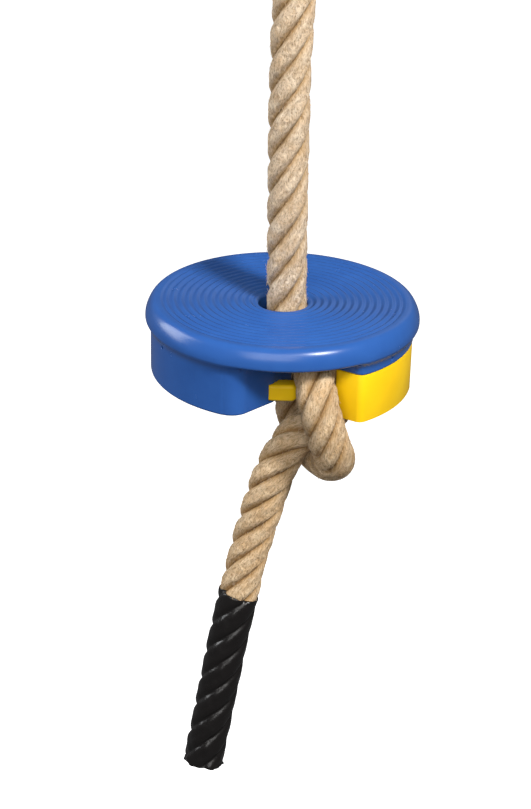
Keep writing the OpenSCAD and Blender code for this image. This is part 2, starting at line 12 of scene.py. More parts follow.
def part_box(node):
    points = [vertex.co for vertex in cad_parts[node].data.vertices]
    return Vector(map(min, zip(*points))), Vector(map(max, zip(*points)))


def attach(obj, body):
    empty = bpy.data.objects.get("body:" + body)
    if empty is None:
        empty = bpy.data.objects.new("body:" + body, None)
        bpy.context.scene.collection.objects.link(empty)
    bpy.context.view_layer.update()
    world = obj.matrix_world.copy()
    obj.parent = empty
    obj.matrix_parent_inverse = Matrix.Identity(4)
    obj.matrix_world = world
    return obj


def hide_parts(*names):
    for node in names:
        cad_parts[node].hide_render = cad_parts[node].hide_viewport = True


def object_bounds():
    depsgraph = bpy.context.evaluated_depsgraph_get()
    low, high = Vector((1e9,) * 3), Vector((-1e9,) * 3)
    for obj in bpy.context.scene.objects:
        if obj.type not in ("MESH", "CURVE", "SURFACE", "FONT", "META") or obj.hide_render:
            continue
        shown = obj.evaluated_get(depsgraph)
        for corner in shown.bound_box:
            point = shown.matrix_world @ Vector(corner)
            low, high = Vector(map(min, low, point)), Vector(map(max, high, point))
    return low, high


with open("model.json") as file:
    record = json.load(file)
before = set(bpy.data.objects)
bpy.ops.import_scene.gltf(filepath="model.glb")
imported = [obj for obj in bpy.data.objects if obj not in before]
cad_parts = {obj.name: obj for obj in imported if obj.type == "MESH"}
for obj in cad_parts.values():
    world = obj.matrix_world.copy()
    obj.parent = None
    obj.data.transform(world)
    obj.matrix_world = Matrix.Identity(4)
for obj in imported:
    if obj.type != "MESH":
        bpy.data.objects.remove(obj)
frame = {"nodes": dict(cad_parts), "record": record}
cad_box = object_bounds()

MM = 0.001
shell_low, shell_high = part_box("seat_shell")
# The seat's axis at its top plane: every place on the seat is measured from here
SEAT = Vector(((shell_low.x + shell_high.x) / 2, (shell_low.y + shell_high.y) / 2, shell_high.z))
ROPE_D = 0.043


# ---- camera -------------------------------------------------------------------------------------

CAMERA_DISTANCE = 2.0161
CAMERA_ELEVATION = math.radians(22.152)
AXIS_PITCH = math.radians(25.392)
AXIS_YAW = math.radians(0.479)
CAMERA_ROLL = math.radians(1.465)
FOCAL_MM = 84.55
SENSOR_MM = 36


def make_camera():
    forward = Vector((
        -math.sin(AXIS_YAW) * math.cos(AXIS_PITCH),
        math.cos(AXIS_YAW) * math.cos(AXIS_PITCH),
        -math.sin(AXIS_PITCH),
    ))
    level = Vector((math.cos(AXIS_YAW), math.sin(AXIS_YAW), 0))
    down = forward.cross(level)
    right = level * math.cos(CAMERA_ROLL) - down * math.sin(CAMERA_ROLL)
    up = -(level * math.sin(CAMERA_ROLL) + down * math.cos(CAMERA_ROLL))
    back = Vector((0, -math.cos(CAMERA_ELEVATION), math.sin(CAMERA_ELEVATION)))
    data = bpy.data.cameras.new("camera")
    data.lens = FOCAL_MM
    data.sensor_width = SENSOR_MM
    camera = bpy.data.objects.new("camera", data)
    turn = Matrix((right, up, -forward)).transposed().to_4x4()
    camera.matrix_world = Matrix.Translation(SEAT + back * CAMERA_DISTANCE) @ turn
    bpy.context.scene.collection.objects.link(camera)
    bpy.context.scene.camera = camera


make_camera()


# ---- meshes -------------------------------------------------------------------------------------

def mesh_object(name, points, faces):
    """A smooth mesh object from an array of points and lists of corner numbers."""
    mesh = bpy.data.meshes.new(name)
    mesh.from_pydata(np.asarray(points, float).tolist(), [], [list(map(int, f)) for f in faces])
    mesh.polygons.foreach_set("use_smooth", [True] * len(mesh.polygons))
    mesh.update()
    piece = bpy.data.objects.new(name, mesh)
    bpy.context.scene.collection.objects.link(piece)
    return piece


def tube_faces(rings, sides, first=0):
    """Quads of a tube of rings, with one polygon to close each end."""
    faces = []
    for i in range(rings - 1):
        a, b = first + i * sides, first + (i + 1) * sides
        for k in range(sides):
            n = (k + 1) % sides
            faces.append((a + k, a + n, b + n, b + k))
    faces.append([first + k for k in reversed(range(sides))])
    faces.append([first + (rings - 1) * sides + k for k in range(sides)])
    return faces


def set_attribute(piece, name, values):
    values = np.asarray(values, np.float32)
    if values.ndim == 1:
        piece.data.attributes.new(name, "FLOAT", "POINT").data.foreach_set("value", values)
    else:
        layer = piece.data.attributes.new(name, "FLOAT_VECTOR", "POINT")
        layer.data.foreach_set("vector", values.ravel())


def edit_of(piece):
    edit = bmesh.new()
    edit.from_mesh(piece.data)
    return edit


def apply_modifiers(piece):
    graph = bpy.context.evaluated_depsgraph_get()
    done = bpy.data.meshes.new_from_object(piece.evaluated_get(graph))
    piece.modifiers.clear()
    piece.data = done


def shade_by_angle(piece, degrees):
    """Smooth shading that keeps the edges sharper than an angle."""
    edit = edit_of(piece)
    limit = math.radians(degrees)
    for edge in edit.edges:
        edge.smooth = len(edge.link_faces) == 2 and edge.calc_face_angle(0) < limit
    for face in edit.faces:
        face.smooth = True
    edit.to_mesh(piece.data)
    edit.free()


def softened(node, width, body):
    """A copy of a CAD node with its hard edges rounded, which stands for the node."""
    piece = bpy.data.objects.new(node + "_soft", frame["nodes"][node].data.copy())
    piece.data.materials.clear()
    bpy.context.scene.collection.objects.link(piece)
    edit = edit_of(piece)
    bmesh.ops.remove_doubles(edit, verts=edit.verts, dist=2e-6)
    bmesh.ops.dissolve_limit(
        edit, angle_limit=math.radians(0.5), verts=edit.verts, edges=edit.edges,
        use_dissolve_boundaries=False,
    )
    edit.to_mesh(piece.data)
    edit.free()
    bevel = piece.modifiers.new("bevel", "BEVEL")
    bevel.width = width
    bevel.segments = 3
    bevel.limit_method = "ANGLE"
    bevel.angle_limit = math.radians(30)
    apply_modifiers(piece)
    shade_by_angle(piece, 40)
    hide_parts(node)
    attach(piece, body)
    return piece


# ---- the rope's line ----------------------------------------------------------------------------

# The route runs near the middle of the frame's rope. From inside the socket, measured from the
# origin, in mm
STANDING = [(0, 0, -110), (-1, 0, -150), (-3, 5, -220), (-3, 12, -300), (-2, 18, -380), (-1, 23, -440)]
# Through and below the seat, measured from the seat's axis and top plane, in mm
KNOTTED = [
    (4, 0, 0), (6, 0, -60), (10, -1, -92), (14, -5, -116), (20, -11, -137), (29, -23, -152),
    (40, -43, -159), (52, -69, -157), (59, -93, -144), (57, -111, -127), (50, -119, -105),
    (43, -121, -82), (38, -117, -62), (35, -106, -46), (35, -92, -39), (41, -79, -39),
    (51, -69, -46), (59, -61, -58), (62, -56, -73), (61, -54, -89), (55, -54, -103),
    (45, -57, -112), (33, -62, -119), (19, -67, -129), (7, -71, -146), (-4, -73, -172),
    (-15, -73, -211), (-28, -76, -263), (-39, -84, -315), (-50, -92, -371), (-59, -100, -425),
    (-68, -108, -477), (-74, -114, -515),
]
LINE_STEP = 1.6 * MM


class Line:
    """A smooth line through points, with a frame that doesn't turn about it."""

    def __init__(self, points, step):
        points = np.asarray(points, float)
        gaps = np.linalg.norm(np.diff(points, axis=0), axis=1)
        knots = np.concatenate([[0], np.cumsum(gaps)])
        count = len(points)
        system, right = np.eye(count), np.zeros((count, 3))
        for i in range(1, count - 1):
            system[i, i - 1:i + 2] = gaps[i - 1], 2 * (gaps[i - 1] + gaps[i]), gaps[i]
            turn = (points[i + 1] - points[i]) / gaps[i] - (points[i] - points[i - 1]) / gaps[i - 1]
            right[i] = 6 * turn
        bend = np.linalg.solve(system, right)
        at = np.linspace(0, knots[-1], 12 * int(knots[-1] / step))
        k = np.clip(np.searchsorted(knots, at, side="right") - 1, 0, count - 2)
        gap, before, after = gaps[k, None], (at - knots[k])[:, None], (knots[k + 1] - at)[:, None]
        dense = (bend[k] * after ** 3 + bend[k + 1] * before ** 3) / (6 * gap)
        dense += (points[k] / gap - bend[k] * gap / 6) * after
        dense += (points[k + 1] / gap - bend[k + 1] * gap / 6) * before
        run = np.concatenate([[0], np.cumsum(np.linalg.norm(np.diff(dense, axis=0), axis=1))])
        self.length = run[-1]
        self.s = np.linspace(0, self.length, int(self.length / step) + 1)
        self.p = np.stack([np.interp(self.s, run, dense[:, i]) for i in range(3)], 1)
        self.t = np.gradient(self.p, self.s, axis=0)
        self.t /= np.linalg.norm(self.t, axis=1)[:, None]
        self.n = np.zeros_like(self.p)
        side = np.array([1.0, 0, 0])
        for i, t in enumerate(self.t):
            side = side - t * side.dot(t)
            side /= np.linalg.norm(side)
            self.n[i] = side
        self.b = np.cross(self.t, self.n)

    def at(self, s):
        """Centre and the two cross directions at distances along the line."""
        return [
            np.stack([np.interp(s, self.s, values[:, i]) for i in range(3)], -1)
            for values in (self.p, self.n, self.b)
        ]


route = np.array(STANDING + [tuple(np.array(p) + np.array(SEAT) / MM) for p in KNOTTED]) * MM
line = Line(route, LINE_STEP)

# Heights from the seat's top plane at which the knot starts and ends and the sleeve starts
KNOT_START_Z = -0.080
KNOT_END_Z = -0.150
SLEEVE_START_Z = -0.314


def last_above(height):
    """Distance along the line of the last place that is higher than a height."""
    return line.s[len(line.s) - 1 - np.argmax(below[::-1] > height)]


below = line.p[:, 2] - SEAT.z
KNOT_FROM = line.s[np.argmax(below < KNOT_START_Z)]
KNOT_TO = last_above(KNOT_END_Z)
SLEEVE_FROM = last_above(SLEEVE_START_Z)


def soft_step(x, low, high):
    x = np.clip((np.asarray(x, float) - low) / (high - low), 0, 1)
    return x * x * (3 - 2 * x)


# The twist: one turn in LAY, tighter in the knot and the tail
LAY = 0.145
LAY_LESS_IN_KNOT = 0.038
LAY_LESS_IN_TAIL = 0.015
FIRST_TWIST = 0.4
in_knot = soft_step(line.s, KNOT_FROM - 0.05, KNOT_FROM + 0.03)
in_knot *= 1 - soft_step(line.s, KNOT_TO - 0.02, KNOT_TO + 0.05)
in_tail = soft_step(line.s, KNOT_TO, KNOT_TO + 0.05)
lay = LAY - LAY_LESS_IN_KNOT * in_knot - LAY_LESS_IN_TAIL * in_tail
twist = np.concatenate([[0], np.cumsum(2 * math.pi / lay[1:] * np.diff(line.s))]) + FIRST_TWIST
# The rope's thickness along the line: a little more below the knot, less towards the sleeve
swell = 1 + 0.05 * soft_step(line.s, KNOT_TO - 0.05, KNOT_TO + 0.03)
swell -= 0.03 * soft_step(line.s, KNOT_TO + 0.04, SLEEVE_FROM - 0.01)
swell -= 0.04 * soft_step(line.s, SLEEVE_FROM - 0.01, SLEEVE_FROM + 0.02)

# A strand's section: a rounded square, wider than it is high
STRAND_AT = 12.1 * MM
STRAND_HIGH = 8.9 * MM
STRAND_WIDE = 11.0 * MM
STRAND_ROUND = 2.6
STRAND_SIDES = 44
# Unevenness: its size, and the lengths of its waves with their shares
LUMP = 0.45 * MM
LUMP_WAVES = ((0.09, 0.35), (0.045, 0.25), (0.021, 0.18), (0.011, 0.10))
# How deep a groove has to be for its painted shade to be full
CREASE_DEPTH = 6.5 * MM
# The fibres' direction: the radius that they are mapped on, and how much they wind
FIBRE_R = 10.4 * MM
FIBRE_TURN = 0.75


def strand_section(w):
    """Radial and sideways reach of a strand's section at angles round it."""
    c, s = np.cos(w), np.sin(w)
    power = 2 / STRAND_ROUND
    high = STRAND_HIGH * np.sign(c) * np.abs(c) ** power
    wide = STRAND_WIDE * np.sign(s) * np.abs(s) ** power
    return high, wide


def rope_outline(angle):
    """Reach of the four strands together, at angles from a strand's middle."""
    w = np.linspace(-math.pi, math.pi, 720)
    high, wide = strand_section(w)
    x, y = STRAND_AT + high, wide
    reach, where = np.hypot(x, y), np.arctan2(y, x)
    bins = np.linspace(-math.pi / 4, math.pi / 4, 46)
    top = [reach[np.abs(where - b) < 0.03].max() for b in bins]
    folded = (np.asarray(angle) + math.pi / 4) % (math.pi / 2) - math.pi / 4
    return np.interp(folded, bins, top)


def make_rope():
    rng = np.random.default_rng(7)
    w = np.linspace(-math.pi, math.pi, STRAND_SIDES, endpoint=False)
    high, wide = strand_section(w)
    s = line.s[:, None]
    points, groove_shade, fibre, faces = [], [], [], []
    for k in range(4):
        lump = np.zeros((len(line.s), STRAND_SIDES))
        for wave, size in LUMP_WAVES:
            for turns in (0, 1, 2, 3):
                start = rng.uniform(0, 2 * math.pi, 2)
                lump += size * np.sin(2 * math.pi * s / wave + start[0] + turns * w + start[1])
        lump *= LUMP
        angle = twist[:, None] + k * math.pi / 2
        h = STRAND_AT + high * (1 + lump / STRAND_HIGH)
        v = wide * (1 + lump / STRAND_WIDE)
        h, v = h * swell[:, None], v * swell[:, None]
        along_n = h * np.cos(angle) - v * np.sin(angle)
        along_b = h * np.sin(angle) + v * np.cos(angle)
        where = line.p[:, None] + along_n[..., None] * line.n[:, None]
        where = where + along_b[..., None] * line.b[:, None]
        first = k * where.shape[0] * STRAND_SIDES
        points.append(where.reshape(-1, 3))
        faces += tube_faces(len(line.s), STRAND_SIDES, first)
        reach = np.hypot(h, v)
        # Mask for the painted shade in the grooves: 0 on a strand's crown, 1 deep in a groove
        groove_shade.append(np.clip((ROPE_D / 2 * swell[:, None] - reach) / CREASE_DEPTH, 0, 1).ravel())
        round_at = w[None] + FIBRE_TURN * s / FIBRE_R
        fibre.append(np.stack([
            FIBRE_R * np.cos(round_at),
            FIBRE_R * np.sin(round_at),
            np.broadcast_to(s + 3 * k, round_at.shape),
        ], -1).reshape(-1, 3))
    rope = mesh_object("rope_strands", np.concatenate(points), faces)
    set_attribute(rope, "groove_shade", np.concatenate(groove_shade))
    set_attribute(rope, "fibre", np.concatenate(fibre))
    # Mask for painted shade: rises to 1 at the knot and stays 1 down to the end
    worn = np.repeat(soft_step(line.s, KNOT_FROM - 0.05, KNOT_FROM + 0.02), STRAND_SIDES)
    set_attribute(rope, "worn", np.tile(worn, 4))
    return rope


def rope_surface(s, angle, lift=0.0):
    """Points on the rope at distances along it and angles round it, and the way out of it there."""
    centre, n, b = line.at(s)
    turned = np.interp(s, line.s, twist)
    reach = rope_outline(angle - turned) * np.interp(s, line.s, swell) + lift
    out = np.cos(angle)[..., None] * n + np.sin(angle)[..., None] * b
    return centre + reach[..., None] * out, out


# Loose fibres: how many, from where on the line, and the least and most of their length,
# thickness and rise
FUZZ_COUNT = 7500
FUZZ_FROM = 0.04
FUZZ_LENGTH_MM = (1.6, 4.6)
FUZZ_THICK_MM = (0.16, 0.32)
FUZZ_RISE = (0.15, 0.80)


def make_fuzz():
    """Short loose fibres that stand off the rope."""
    count = FUZZ_COUNT
    rng = np.random.default_rng(11)
    s = rng.uniform(FUZZ_FROM, SLEEVE_FROM - 0.002, count)
    angle = rng.uniform(0, 2 * math.pi, count)
    start, out = rope_surface(s, angle, -0.5 * MM)
    centre, n, b = line.at(s)
    along = np.cross(n, b)
    side = np.cross(along, out)
    way = rng.choice([-1, 1], count)[:, None] * along + rng.normal(0, 0.5, (count, 1)) * side
    way /= np.linalg.norm(way, axis=1)[:, None]
    length = rng.uniform(*FUZZ_LENGTH_MM, count)[:, None] * MM
    rise = rng.uniform(*FUZZ_RISE, count)[:, None]
    drift = rng.normal(0, 0.25, (count, 1)) * side
    thick = rng.uniform(*FUZZ_THICK_MM, count) * MM
    steps, corners = 5, 3
    points, faces = [], []
    across = np.cross(way, out)
    for i in range(steps):
        u = i / (steps - 1)
        middle = start + length * (u * way + rise * (1.6 * u - 0.9 * u * u) * out + drift * u * u)
        for c in range(corners):
            a = 2 * math.pi * c / corners
            size = (thick * (1 - 0.75 * u))[:, None]
            points.append(middle + size * (math.cos(a) * across + math.sin(a) * out))
    points = np.stack(points, 1).reshape(-1, 3)
    for i in range(count):
        faces += tube_faces(steps, corners, i * steps * corners)
    return mesh_object("rope_fuzz", points, faces)


def make_sleeve():
    """The shrink sleeve: it follows the strands and closes over the cut end."""
    rng = np.random.default_rng(5)
    sides, rings = 120, 130
    angle = np.linspace(0, 2 * math.pi, sides, endpoint=False)
    _, n, b = line.at(np.full(1, SLEEVE_FROM))
    slant = 2 * MM * (np.cos(angle) * n[0, 0] + np.sin(angle) * b[0, 0])
    ragged = 0.7 * MM * np.sin(3 * angle + 1.0) + 0.4 * MM * np.sin(7 * angle)
    top = SLEEVE_FROM + slant + ragged
    end = line.length - 1.0 * MM
    wall = 1.2 * MM
    # How closely the sleeve follows the strands
    cling = 0.62
    points = []
    # From inside the top edge, over it, and down the outside
    for share, lift in ((0.03, -0.6), (0.008, -0.2), (0.0, 0.5), (0.004, 1.2)):
        s = top + share * (end - top)
        points.append(rope_surface(s, angle, lift * MM)[0])
    phases = rng.uniform(0, 2 * math.pi, 6)
    for i in range(rings):
        u = 0.012 + (1 - 0.012) * (i / (rings - 1)) ** 0.97
        s = top + u * (end - top)
        turned = np.interp(s, line.s, twist)
        grown = np.interp(s, line.s, swell)
        lobed = rope_outline(angle - turned) * grown
        plain = ROPE_D / 2 * grown
        crumple = 0.25 * MM * np.sin(9 * angle + 40 * u + phases[0])
        crumple += (0.30 * MM * np.sin(5 * angle - 23 * u + phases[1])
                    + 0.2 * MM * np.sin(55 * u + phases[2]))
        centre, n, b = line.at(s)
        reach = cling * lobed + (1 - cling) * plain + wall + crumple * (0.5 + 0.8 * u ** 6)
        out = np.cos(angle)[:, None] * n + np.sin(angle)[:, None] * b
        points.append(centre + reach[:, None] * out)
    # Folded in over the end
    centre, n, b = line.at(np.full(sides, end))
    along = np.cross(n, b)
    out = np.cos(angle)[:, None] * n + np.sin(angle)[:, None] * b
    for inward, forward in ((0.95, 1.6), (0.84, 2.8), (0.62, 3.3), (0.34, 2.6), (0.10, 2.1)):
        fold = 1 + 0.05 * np.sin(6 * angle + phases[3]) + 0.04 * np.sin(11 * angle + phases[4])
        reach = (ROPE_D / 2 + wall) * inward * fold
        push = (forward + 0.5 * np.sin(4 * angle + phases[5])) * MM
        points.append(centre + reach[:, None] * out + push[:, None] * along)
    return mesh_object("sleeve_skin", np.concatenate(points), tube_faces(len(points), sides))


rope = make_rope()
fuzz = make_fuzz()
sleeve = make_sleeve()
for piece in (rope, fuzz, sleeve):
    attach(piece, "swing")
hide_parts("rope")
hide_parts("end_sleeve")


# ---- the seat -----------------------------------------------------------------------------------
# Its shape is a distance field in mm, measured from the seat's axis and top plane: below zero is
# inside. It follows the frame's shell, with the edges rounded and blended, a slightly narrower vent
# hole, and a screw hole 7 mm lower than the frame's.

CREST_R = 134.0
SKIRT_R = 140.0
HOLE_R = 26.0
HUB_R = 31.0
HUB_UNDER = -36.0
WALL = 4.5
DEEP_H = 80.0
DEEP_EDGE_R = 2.4
SHALLOW_H = 38.0
SHALLOW_EDGE_R = 1.6
# The top: dished towards the hole, with a dip round it, ring ridges and a rim that rolls over
DISH = 2.4
HOLE_DIP = 3.8
HOLE_DIP_REACH = 5
RIM_WIDE = 11
RIM_DROP = 19
RIDGE_CREST_R = 40
RIDGE_PITCH = 8.0
RIDGE_H = 1.7
SKIN_UNDER = -9.0
GATE_INNER_R = 112.0
BLEND = 11.0
INNER_BLEND = 1.5

POCKET_WALL = [(-46, -131), (-9, -92), (10, -60), (-25, -36), (-37, -3), (-27, 27), (6, 40), (64, 118)]
GATE_FACE_FROM = np.array([57.0, -97.0])
GATE_FACE_ANGLE = math.radians(-31.8)
LATCH_Y = -88.0
LATCH_Z = -67.5
LATCH_SLOT = 9.5
LATCH_SLOT_MIDDLE_X = -5.0
LATCH_SLOT_HALF_LENGTH = 25.0
# Holes through the skirt: angle in degrees, height and radius
VENT_HOLE = (208, -33, 1.8)
SCREW_HOLE = (-35.4, -31, 2.1)
FRONT_CORNER_R = 22
GATE_CORNER_R = 9
INNER_CORNER_R = 5


def lathe_profile():
    """The disc's section, as (radius, height) corners."""
    r = np.arange(HOLE_R, CREST_R - 0.5, 0.5)
    z = -DISH * (1 - (r / CREST_R) ** 2) - HOLE_DIP * np.exp(-(r - HOLE_R) / HOLE_DIP_REACH)
    ridged = soft_step(r, 27, 33) * (1 - soft_step(r, CREST_R - 8, CREST_R - 4))
    z -= ridged * RIDGE_H * (1 + np.cos(2 * math.pi * (r - RIDGE_CREST_R) / RIDGE_PITCH)) / 2
    a = np.linspace(0, math.pi / 2, 24)
    rim = np.stack([CREST_R + RIM_WIDE * np.sin(a), -RIM_DROP * (1 - np.cos(a))], 1)
    lip = [(145, -20.5), (143.8, -22.2), (141, -23.6), (135.5, -24.5)]
    under = [(132, SKIN_UNDER), (HUB_R, SKIN_UNDER), (HUB_R, HUB_UNDER), (HOLE_R, HUB_UNDER)]
    return np.concatenate([np.stack([r, z], 1), rim, lip, under])


def rounded_corner(before, corner, after, radius, count=8):
    """Points of an arc of that radius in a corner."""
    before, corner, after = (np.asarray(p, float) for p in (before, corner, after))
    u = (before - corner) / np.linalg.norm(before - corner)
    v = (after - corner) / np.linalg.norm(after - corner)
    half = math.acos(np.clip(u.dot(v), -1, 1)) / 2
    middle = corner + (u + v) / np.linalg.norm(u + v) * radius / math.sin(half)
    start = corner + u * radius / math.tan(half) - middle
    end = corner + v * radius / math.tan(half) - middle
    a0, a1 = math.atan2(start[1], start[0]), math.atan2(end[1], end[0])
    turn = (a1 - a0 + math.pi) % (2 * math.pi) - math.pi
    return [middle + radius * np.array([math.cos(a0 + turn * i / count), math.sin(a0 + turn * i / count)])
            for i in range(count + 1)]


def arc(r, from_deg, to_deg, count):
    a = np.radians(np.linspace(from_deg, to_deg, count))
    return [np.array([r * math.cos(x), r * math.sin(x)]) for x in a]


def offset_path(path, distance):
    """An open path moved to its right, with mitred corners."""
    path = [np.asarray(p, float) for p in path]
    moved = []
    for i, p in enumerate(path):
        into = path[i] - path[i - 1] if i else path[1] - path[0]
        out = path[i + 1] - path[i] if i + 1 < len(path) else into
        sides = []
        for d in (into, out):
            d = d / np.linalg.norm(d)
            sides.append(np.array([d[1], -d[0]]))
        both = sides[0] + sides[1]
        moved.append(p + distance * both / (both.dot(both) / 2))
    return moved


def deep_plan():
    """Plan of the deep half: the skirt's circle, closed by the rope pocket's wall."""
    wall = offset_path(POCKET_WALL, WALL / 2)
    start = wall[0] + (wall[0] - wall[1]) / np.linalg.norm(wall[0] - wall[1]) * 14
    heading = (start - wall[1]) / np.linalg.norm(start - wall[1])
    half = wall[1].dot(heading)
    reach = -half + math.sqrt(half * half - wall[1].dot(wall[1]) + SKIRT_R ** 2)
    corner = wall[1] + reach * heading
    at = math.degrees(math.atan2(corner[1], corner[0])) % 360
    before = arc(SKIRT_R, at - 10, at, 2)[0]
    skirt = arc(SKIRT_R, 61, at - 7, 70)
    inner = [
        p for a, c, b in zip(wall[:-2], wall[1:-1], wall[2:])
        for p in rounded_corner(a, c, b, INNER_CORNER_R)
    ]
    front = rounded_corner(before, corner, wall[1], FRONT_CORNER_R, 16)
    return np.array(skirt + front + inner + [wall[-1]])


def shallow_plan():
    """Plan of the shallow half: the skirt's circle, closed by the walls of the gate and the pocket."""
    along = np.array([math.cos(GATE_FACE_ANGLE), math.sin(GATE_FACE_ANGLE)])
    half = GATE_FACE_FROM.dot(along)
    reach = -half + math.sqrt(half * half - GATE_FACE_FROM.dot(GATE_FACE_FROM) + SKIRT_R ** 2)
    corner = GATE_FACE_FROM + reach * along
    at = math.degrees(math.atan2(corner[1], corner[0]))
    after = arc(SKIRT_R, at, at + 10, 2)[1]
    skirt = arc(SKIRT_R, at + 6, 63, 50)
    ring = arc(GATE_INNER_R - 1, -17, -59, 14)
    points = rounded_corner(GATE_FACE_FROM, corner, after, GATE_CORNER_R) + skirt
    points += [np.array([8.0, 38.0])] + arc(HOLE_R + 2.5, 72, -20, 8)
    points += [np.array(p, float) for p in ((61, -16), (104, -38))]
    return np.array(points + ring + [GATE_FACE_FROM])


def polygon_distance(points, x, y):
    """Signed distance of places from a closed polygon, below zero inside."""
    best = np.full(x.shape, 1e9)
    inside = np.zeros(x.shape, bool)
    for a, b in zip(points, np.roll(points, -1, 0)):
        d = b - a
        if not d.any():
            continue
        t = np.clip(((x - a[0]) * d[0] + (y - a[1]) * d[1]) / d.dot(d), 0, 1)
        best = np.minimum(best, np.hypot(x - a[0] - t * d[0], y - a[1] - t * d[1]))
        if d[1]:
            crosses = ((a[1] > y) != (b[1] > y)) & (x < a[0] + (y - a[1]) * d[0] / d[1])
            inside ^= crosses
    return np.where(inside, -best, best)


class Table:
    """A signed distance in a plane, tabulated and softened, and read between its places."""

    def __init__(self, polygon, low, high, pitch, soften):
        self.low, self.pitch = np.array(low, float), pitch
        axes = [np.arange(a, b + pitch, pitch) for a, b in zip(low, high)]
        self.values = polygon_distance(polygon, *np.meshgrid(*axes, indexing="ij"))
        if soften:
            reach = int(3 * soften / pitch)
            kernel = np.exp(-0.5 * (np.arange(-reach, reach + 1) * pitch / soften) ** 2)
            kernel /= kernel.sum()
            for axis in (0, 1):
                self.values = np.apply_along_axis(
                    lambda row: np.convolve(np.pad(row, reach, "edge"), kernel, "valid"), axis, self.values
                )

    def __call__(self, x, y):
        u = np.clip((x - self.low[0]) / self.pitch, 0, self.values.shape[0] - 1.001)
        v = np.clip((y - self.low[1]) / self.pitch, 0, self.values.shape[1] - 1.001)
        i, j = u.astype(int), v.astype(int)
        fu, fv = u - i, v - j
        t = self.values
        return ((t[i, j] * (1 - fu) + t[i + 1, j] * fu) * (1 - fv)
                + (t[i, j + 1] * (1 - fu) + t[i + 1, j + 1] * fu) * fv)


def extruded(plan, z, low, high, radius):
    """Distance from a plan raised between two heights, with rounded edges."""
    a = plan + radius
    b = np.maximum(low - z, z - high) + radius
    return np.minimum(np.maximum(a, b), 0) + np.hypot(np.maximum(a, 0), np.maximum(b, 0)) - radius


def joined(a, b, reach):
    """Union with a concave blend of about that reach."""
    h = np.maximum(reach - np.abs(a - b), 0) / reach
    return np.minimum(a, b) - h * h * reach / 4


def bore_distance(x, y, z, angle_deg, height, radius):
    """Distance from a round hole that goes in through the skirt towards the seat's axis."""
    a = math.radians(angle_deg)
    u = x * math.cos(a) + y * math.sin(a)
    v = -x * math.sin(a) + y * math.cos(a)
    return np.maximum(np.hypot(v, z - height) - radius, SKIRT_R - 9 - u)


profile_table = Table(lathe_profile(), (20, -40), (150, 5), 0.25, 0.45)
deep_table = Table(deep_plan(), (-150, -150), (150, 150), 0.5, 0.8)
shallow_table = Table(shallow_plan(), (-150, -150), (150, 150), 0.5, 0.8)


def seat_field(x, y, z):
    r = np.hypot(x, y)
    disc = profile_table(r, z)
    top = -7 - 9 * soft_step(r, 128, 134)
    deep, shallow = deep_table(x, y), shallow_table(x, y)
    deep_wall = extruded(deep, z, -DEEP_H, top, DEEP_EDGE_R)
    deep_wall = np.maximum(deep_wall, -np.maximum(deep + WALL, z - SKIN_UNDER))
    shallow_wall = extruded(shallow, z, -SHALLOW_H, top, SHALLOW_EDGE_R)
    shallow_wall = np.maximum(shallow_wall, -np.maximum(shallow + WALL, z - SKIN_UNDER))
    walls = np.minimum(deep_wall, shallow_wall)
    reach = INNER_BLEND + (BLEND - INNER_BLEND) * soft_step(r, 127, 135)
    shape = joined(disc, walls, reach)
    slot = np.maximum(np.abs(y - LATCH_Y), np.abs(z - LATCH_Z)) - LATCH_SLOT
    slot = np.maximum(slot, np.abs(x - LATCH_SLOT_MIDDLE_X) - LATCH_SLOT_HALF_LENGTH)
    holes = np.minimum(bore_distance(x, y, z, *VENT_HOLE), bore_distance(x, y, z, *SCREW_HOLE))
    return np.maximum(shape, -np.minimum(slot, holes))


def surface_net(field, low, high, pitch):
    """Quads on the zero surface of a field, one corner for each mixed cell of a grid."""
    axes = [np.arange(a, b + pitch, pitch) for a, b in zip(low, high)]
    shape = [len(a) for a in axes]
    values = np.empty(shape)
    for k, z in enumerate(axes[2]):
        x, y = np.meshgrid(axes[0], axes[1], indexing="ij")
        values[:, :, k] = field(x, y, np.full(x.shape, z))
    inside = values < 0

    def corner(i, j, k):
        return inside[i:shape[0] - 1 + i, j:shape[1] - 1 + j, k:shape[2] - 1 + k].astype(np.int8)

    count = sum(corner(i, j, k) for i in (0, 1) for j in (0, 1) for k in (0, 1))
    cells = np.argwhere((count > 0) & (count < 8))
    number = np.full([n - 1 for n in shape], -1)
    number[tuple(cells.T)] = np.arange(len(cells))
    total, hits = np.zeros((len(cells), 3)), np.zeros(len(cells))
    for axis in range(3):
        others = [a for a in range(3) if a != axis]
        for du in (0, 1):
            for dv in (0, 1):
                start = cells.copy()
                start[:, others[0]] += du
                start[:, others[1]] += dv
                end = start.copy()
                end[:, axis] += 1
                a, b = values[tuple(start.T)], values[tuple(end.T)]
                hit = (a < 0) != (b < 0)
                share = np.where(hit, a / np.where(hit, a - b, 1), 0)
                place = start.astype(float)
                place[:, axis] += share
                total += place * hit[:, None]
                hits += hit
    points = np.array([a[0] for a in axes]) + pitch * total / hits[:, None]
    faces = []
    for axis in range(3):
        u, v = ((1, 2), (2, 0), (0, 1))[axis]
        ahead = np.take(inside, range(1, shape[axis]), axis)
        behind = np.take(inside, range(shape[axis] - 1), axis)
        edges = np.argwhere(ahead != behind)
        keep = (edges[:, u] > 0) & (edges[:, v] > 0)
        keep &= (edges[:, u] < shape[u] - 1) & (edges[:, v] < shape[v] - 1)
        edges = edges[keep]
        quad = []
        for du, dv in ((1, 1), (0, 1), (0, 0), (1, 0)):
            cell = edges.copy()
            cell[:, u] -= du
            cell[:, v] -= dv
            quad.append(number[tuple(cell.T)])
        quad = np.stack(quad, 1)
        flip = ~inside[tuple(edges.T)]
        quad[flip] = quad[flip][:, ::-1]
        faces.append(quad)
    return points, np.concatenate(faces)


def field_slope(field, p):
    step = 0.15
    slope = np.empty_like(p)
    for axis in range(3):
        near, far = p.copy(), p.copy()
        near[:, axis] -= step
        far[:, axis] += step
        slope[:, axis] = (field(*far.T) - field(*near.T)) / (2 * step)
    return slope


